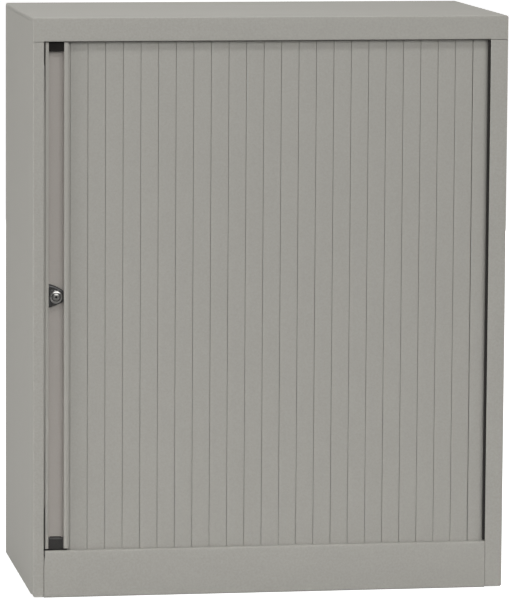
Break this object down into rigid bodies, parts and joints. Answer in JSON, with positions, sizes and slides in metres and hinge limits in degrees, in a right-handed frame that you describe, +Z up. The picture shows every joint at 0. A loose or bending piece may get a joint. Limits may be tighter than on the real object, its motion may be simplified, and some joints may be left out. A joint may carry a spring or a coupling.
{
  "type": "tambour door cabinet",
  "caption": "Steel storage cabinet closed by a sideways sliding tambour of upright slats, with a grooved leading strip, a cylinder lock, a plinth and shelves inside.",
  "frame": {"origin": "middle of the footprint, on the floor", "axes": "+Z up, front facing -Y, +X to the right as seen from the front"},
  "size_m": [0.824, 0.43, 1],
  "materials": {
    "painted_steel": "fine textured powder coat",
    "slat_plastic": "matt",
    "strip_metal": "satin paint",
    "black_plastic": "matt",
    "chrome": "polished",
    "zinc": "zinc plated",
    "track_plastic": "matt",
    "rubber": "matt"
  },
  "bodies": {
    "cabinet": {"top_panel": "painted_steel", "left_side_panel": "painted_steel", "right_side_panel": "painted_steel", "back_panel": "painted_steel", "plinth_panel": "painted_steel", "rear_plinth_rail": "painted_steel", "base_pan": "painted_steel", "ceiling_pan": "painted_steel", "bottom_track": "track_plastic", "top_track": "track_plastic", "right_liner": "painted_steel", "back_liner": "painted_steel", "inner_floor": "painted_steel", "left_front_upright": "painted_steel", "left_rear_upright": "painted_steel", "right_front_upright": "painted_steel", "right_rear_upright": "painted_steel", "lower_shelf": "painted_steel", "upper_shelf": "painted_steel", "strike_plate": "zinc", "bottom_closing_buffer": "rubber", "top_closing_buffer": "rubber", "side_slat_1": "slat_plastic", "side_slat_2": "slat_plastic", "side_slat_3": "slat_plastic", "side_slat_4": "slat_plastic"},
    "door": {"leading_strip": "strip_metal", "top_strip_cap": "black_plastic", "bottom_strip_cap": "black_plastic", "lock_bezel": "black_plastic", "lock_barrel": "chrome", "lock_nut": "zinc"},
    "lock": {"lock_plug": "chrome", "lock_cam": "zinc"},
    "slat_1": {"slat_1": "slat_plastic"},
    "slat_2": {"slat_2": "slat_plastic"},
    "slat_3": {"slat_3": "slat_plastic"},
    "slat_4": {"slat_4": "slat_plastic"},
    "slat_5": {"slat_5": "slat_plastic"},
    "slat_6": {"slat_6": "slat_plastic"},
    "slat_7": {"slat_7": "slat_plastic"},
    "slat_8": {"slat_8": "slat_plastic"},
    "slat_9": {"slat_9": "slat_plastic"},
    "slat_10": {"slat_10": "slat_plastic"},
    "slat_11": {"slat_11": "slat_plastic"},
    "slat_12": {"slat_12": "slat_plastic"},
    "slat_13": {"slat_13": "slat_plastic"},
    "slat_14": {"slat_14": "slat_plastic"},
    "slat_15": {"slat_15": "slat_plastic"},
    "slat_16": {"slat_16": "slat_plastic"},
    "slat_17": {"slat_17": "slat_plastic"},
    "slat_18": {"slat_18": "slat_plastic"},
    "slat_19": {"slat_19": "slat_plastic"},
    "slat_20": {"slat_20": "slat_plastic"},
    "slat_21": {"slat_21": "slat_plastic"},
    "slat_22": {"slat_22": "slat_plastic"},
    "slat_23": {"slat_23": "slat_plastic"}
  },
  "joints": [
    {"name": "door_slide", "type": "slide", "parent": "cabinet", "child": "door", "axis": [1, 0, 0], "range_m": [0, 0.6992], "deforming": ["slat_1", "slat_2", "slat_3", "slat_4", "slat_5", "slat_6", "slat_7", "slat_8", "slat_9", "slat_10", "slat_11", "slat_12", "slat_13", "slat_14", "slat_15", "slat_16", "slat_17", "slat_18", "slat_19", "slat_20", "slat_21", "slat_22", "slat_23"]},
    {"name": "lock_turn", "type": "hinge", "parent": "door", "child": "lock", "pos_m": [-0.37155, -0.2, 0.5208], "axis": [0, -1, 0], "range_deg": [0, 90]},
    {"name": "slat_1_slide", "type": "slide", "parent": "cabinet", "child": "slat_1", "axis": [1, 0, 0], "range_m": [0, 0.72779]},
    {"name": "slat_2_slide", "type": "slide", "parent": "cabinet", "child": "slat_2", "axis": [1, 0, 0], "range_m": [0, 0.69756]},
    {"name": "slat_3_slide", "type": "slide", "parent": "cabinet", "child": "slat_3", "axis": [1, 0, 0], "range_m": [0, 0.66734]},
    {"name": "slat_4_slide", "type": "slide", "parent": "cabinet", "child": "slat_4", "axis": [1, 0, 0], "range_m": [0, 0.63711]},
    {"name": "slat_5_slide", "type": "slide", "parent": "cabinet", "child": "slat_5", "axis": [1, 0, 0], "range_m": [0, 0.60688]},
    {"name": "slat_6_slide", "type": "slide", "parent": "cabinet", "child": "slat_6", "axis": [1, 0, 0], "range_m": [0, 0.57666]},
    {"name": "slat_7_slide", "type": "slide", "parent": "cabinet", "child": "slat_7", "axis": [1, 0, 0], "range_m": [0, 0.54643]},
    {"name": "slat_8_slide", "type": "slide", "parent": "cabinet", "child": "slat_8", "axis": [1, 0, 0], "range_m": [0, 0.51621]},
    {"name": "slat_9_slide", "type": "slide", "parent": "cabinet", "child": "slat_9", "axis": [1, 0, 0], "range_m": [0, 0.48598]},
    {"name": "slat_10_slide", "type": "slide", "parent": "cabinet", "child": "slat_10", "axis": [1, 0, 0], "range_m": [0, 0.45575]},
    {"name": "slat_11_slide", "type": "slide", "parent": "cabinet", "child": "slat_11", "axis": [1, 0, 0], "range_m": [0, 0.42553]},
    {"name": "slat_12_slide", "type": "slide", "parent": "cabinet", "child": "slat_12", "axis": [1, 0, 0], "range_m": [0, 0.3953]},
    {"name": "slat_13_slide", "type": "slide", "parent": "cabinet", "child": "slat_13", "axis": [1, 0, 0], "range_m": [0, 0.36507]},
    {"name": "slat_14_slide", "type": "slide", "parent": "cabinet", "child": "slat_14", "axis": [1, 0, 0], "range_m": [0, 0.33485]},
    {"name": "slat_15_slide", "type": "slide", "parent": "cabinet", "child": "slat_15", "axis": [1, 0, 0], "range_m": [0, 0.30462]},
    {"name": "slat_16_slide", "type": "slide", "parent": "cabinet", "child": "slat_16", "axis": [1, 0, 0], "range_m": [0, 0.2744]},
    {"name": "slat_17_slide", "type": "slide", "parent": "cabinet", "child": "slat_17", "axis": [1, 0, 0], "range_m": [0, 0.24417]},
    {"name": "slat_18_slide", "type": "slide", "parent": "cabinet", "child": "slat_18", "axis": [1, 0, 0], "range_m": [0, 0.21394]},
    {"name": "slat_19_slide", "type": "slide", "parent": "cabinet", "child": "slat_19", "axis": [1, 0, 0], "range_m": [0, 0.18372]},
    {"name": "slat_20_slide", "type": "slide", "parent": "cabinet", "child": "slat_20", "axis": [1, 0, 0], "range_m": [0, 0.15349]},
    {"name": "slat_21_slide", "type": "slide", "parent": "cabinet", "child": "slat_21", "axis": [1, 0, 0], "range_m": [0, 0.12327]},
    {"name": "slat_22_slide", "type": "slide", "parent": "cabinet", "child": "slat_22", "axis": [1, 0, 0], "range_m": [0, 0.09304]},
    {"name": "slat_23_slide", "type": "slide", "parent": "cabinet", "child": "slat_23", "axis": [1, 0, 0], "range_m": [0, 0.06281]}
  ],
  "couplings": [
    {"joint": "slat_1_slide", "follows": "door_slide", "ratio": 1.0409},
    {"joint": "slat_2_slide", "follows": "door_slide", "ratio": 0.99765},
    {"joint": "slat_3_slide", "follows": "door_slide", "ratio": 0.95442},
    {"joint": "slat_4_slide", "follows": "door_slide", "ratio": 0.9112},
    {"joint": "slat_5_slide", "follows": "door_slide", "ratio": 0.86797},
    {"joint": "slat_6_slide", "follows": "door_slide", "ratio": 0.82474},
    {"joint": "slat_7_slide", "follows": "door_slide", "ratio": 0.78151},
    {"joint": "slat_8_slide", "follows": "door_slide", "ratio": 0.73828},
    {"joint": "slat_9_slide", "follows": "door_slide", "ratio": 0.69505},
    {"joint": "slat_10_slide", "follows": "door_slide", "ratio": 0.65182},
    {"joint": "slat_11_slide", "follows": "door_slide", "ratio": 0.60859},
    {"joint": "slat_12_slide", "follows": "door_slide", "ratio": 0.56536},
    {"joint": "slat_13_slide", "follows": "door_slide", "ratio": 0.52213},
    {"joint": "slat_14_slide", "follows": "door_slide", "ratio": 0.4789},
    {"joint": "slat_15_slide", "follows": "door_slide", "ratio": 0.43567},
    {"joint": "slat_16_slide", "follows": "door_slide", "ratio": 0.39244},
    {"joint": "slat_17_slide", "follows": "door_slide", "ratio": 0.34921},
    {"joint": "slat_18_slide", "follows": "door_slide", "ratio": 0.30598},
    {"joint": "slat_19_slide", "follows": "door_slide", "ratio": 0.26276},
    {"joint": "slat_20_slide", "follows": "door_slide", "ratio": 0.21952},
    {"joint": "slat_21_slide", "follows": "door_slide", "ratio": 0.1763},
    {"joint": "slat_22_slide", "follows": "door_slide", "ratio": 0.13307},
    {"joint": "slat_23_slide", "follows": "door_slide", "ratio": 0.089837}
  ]
}
